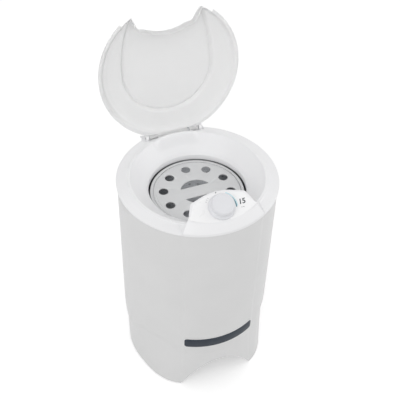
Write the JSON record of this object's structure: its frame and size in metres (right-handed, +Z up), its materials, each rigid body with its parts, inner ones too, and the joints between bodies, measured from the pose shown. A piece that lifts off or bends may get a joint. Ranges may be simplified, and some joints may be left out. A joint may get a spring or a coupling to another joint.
{
  "type": "spin dryer",
  "caption": "Upright spin dryer: round cabinet on a flared foot with an arch, collar with tilted timer console, loose disc in the mouth and an open domed lid.",
  "frame": {"origin": "on the floor, under the middle of the box round the whole part with its lid open; the drum's axis is 19.93 mm in front of it, at y = -0.01993 m", "axes": "+Z up, -Y to the front where the timer console is, +X to the right for someone facing the rear as seen from the front"},
  "size_m": [0.4, 0.4398, 0.9306],
  "materials": {
    "body_plastic": "light grey moulded plastic, satin gloss",
    "white_plastic": "white moulded plastic, satin gloss",
    "badge_plastic": "dark slate strip, smooth",
    "black_plastic": "black, fine grain",
    "painted_steel": "dark grey paint on sheet steel",
    "cast_metal": "die-cast, slightly rough",
    "plain_steel": "bright turned or zinc-plated steel",
    "rubber": "matt black rubber",
    "knob_plastic": "very light bluish grey, satin",
    "tub_plastic": "light grey polypropylene",
    "friction_lining": "brown friction lining, rough",
    "stainless": "brushed stainless sheet",
    "grey_plastic": "light grey moulded plastic",
    "frosted_plastic": "frosted, slightly translucent plastic"
  },
  "bodies": {
    "cabinet": {"cabinet_shell": "body_plastic", "top_collar": "white_plastic", "control_console": "white_plastic", "front_badge": "badge_plastic", "lid_switch": "black_plastic", "cable_gland": "black_plastic", "base_frame": "painted_steel", "capacitor": "cast_metal", "capacitor_clip": "plain_steel", "brake_cable": "black_plastic", "spring_front": "plain_steel", "spring_right": "plain_steel", "spring_left": "plain_steel", "foot_front_right": "rubber", "foot_rear_right": "rubber", "foot_rear_left": "rubber", "foot_front_left": "rubber", "frame_screw_front_right": "plain_steel", "frame_screw_rear_right": "plain_steel", "frame_screw_rear_left": "plain_steel", "frame_screw_front_left": "plain_steel", "console_screw_left": "plain_steel", "console_screw_right": "plain_steel", "timer_body": "black_plastic"},
    "suspended_unit": {"suspension_plate": "painted_steel", "outer_tub": "tub_plastic", "tub_cover": "tub_plastic", "tub_gasket": "rubber", "drain_spout": "black_plastic", "bearing_upper": "plain_steel", "shaft_seal": "rubber", "motor_housing": "cast_metal", "motor_end_shield": "cast_metal", "motor_stator": "plain_steel", "bearing_lower": "plain_steel", "brake_pivot_pin": "plain_steel", "cable_ferrule": "black_plastic", "motor_screw_front": "plain_steel", "motor_screw_right": "plain_steel", "motor_screw_left": "plain_steel"},
    "brake_arm": {"brake_lever": "plain_steel", "brake_lining": "friction_lining", "brake_wire": "plain_steel"},
    "basket": {"basket_drum": "stainless", "basket_hub": "cast_metal", "hub_nut": "plain_steel", "drive_shaft": "plain_steel", "motor_rotor": "plain_steel", "brake_drum": "cast_metal"},
    "basket_disc": {"basket_lid": "grey_plastic"},
    "lid": {"lid_shell": "frosted_plastic", "hinge_shaft": "plain_steel", "brake_crank": "plain_steel"},
    "timer_control": {"timer_knob": "knob_plastic", "timer_spindle": "plain_steel"},
    "lid_switch_button": {"switch_plunger": "white_plastic"}
  },
  "joints": [
    {"name": "suspension_slide", "type": "slide", "parent": "cabinet", "child": "suspended_unit", "axis": [0, 0, 1], "range_m": [-0.006, 0.003], "stiffness_N_per_m": 12000, "springref_m": 0.0103, "deforming": ["spring_front", "spring_right", "spring_left"]},
    {"name": "basket_spin", "type": "hinge", "parent": "suspended_unit", "child": "basket", "pos_m": [0, -0.01993, 0], "axis": [0, 0, 1], "continuous": true},
    {"name": "disc_lift", "type": "slide", "parent": "basket", "child": "basket_disc", "axis": [0, 0, 1], "range_m": [0, 0.12]},
    {"name": "lid_hinge", "type": "hinge", "parent": "cabinet", "child": "lid", "pos_m": [0, 0.15507, 0.607], "axis": [1, 0, 0], "range_deg": [0, 98]},
    {"name": "timer_turn", "type": "hinge", "parent": "cabinet", "child": "timer_control", "pos_m": [0, -0.16993, 0.63428], "axis": [0, 0.4226, -0.9063], "range_deg": [0, 300]},
    {"name": "switch_press", "type": "slide", "parent": "cabinet", "child": "lid_switch_button", "axis": [0, 0, 1], "range_m": [-0.001, 0]},
    {"name": "brake_release", "type": "hinge", "parent": "suspended_unit", "child": "brake_arm", "pos_m": [-0.05, 0.03207, 0], "axis": [0, 0, 1], "range_deg": [0, 4]}
  ],
  "couplings": [
    {"joint": "brake_release", "follows": "lid_hinge", "ratio": 0.0408},
    {"joint": "switch_press", "follows": "lid_hinge", "m_per_rad": -0.00058}
  ]
}
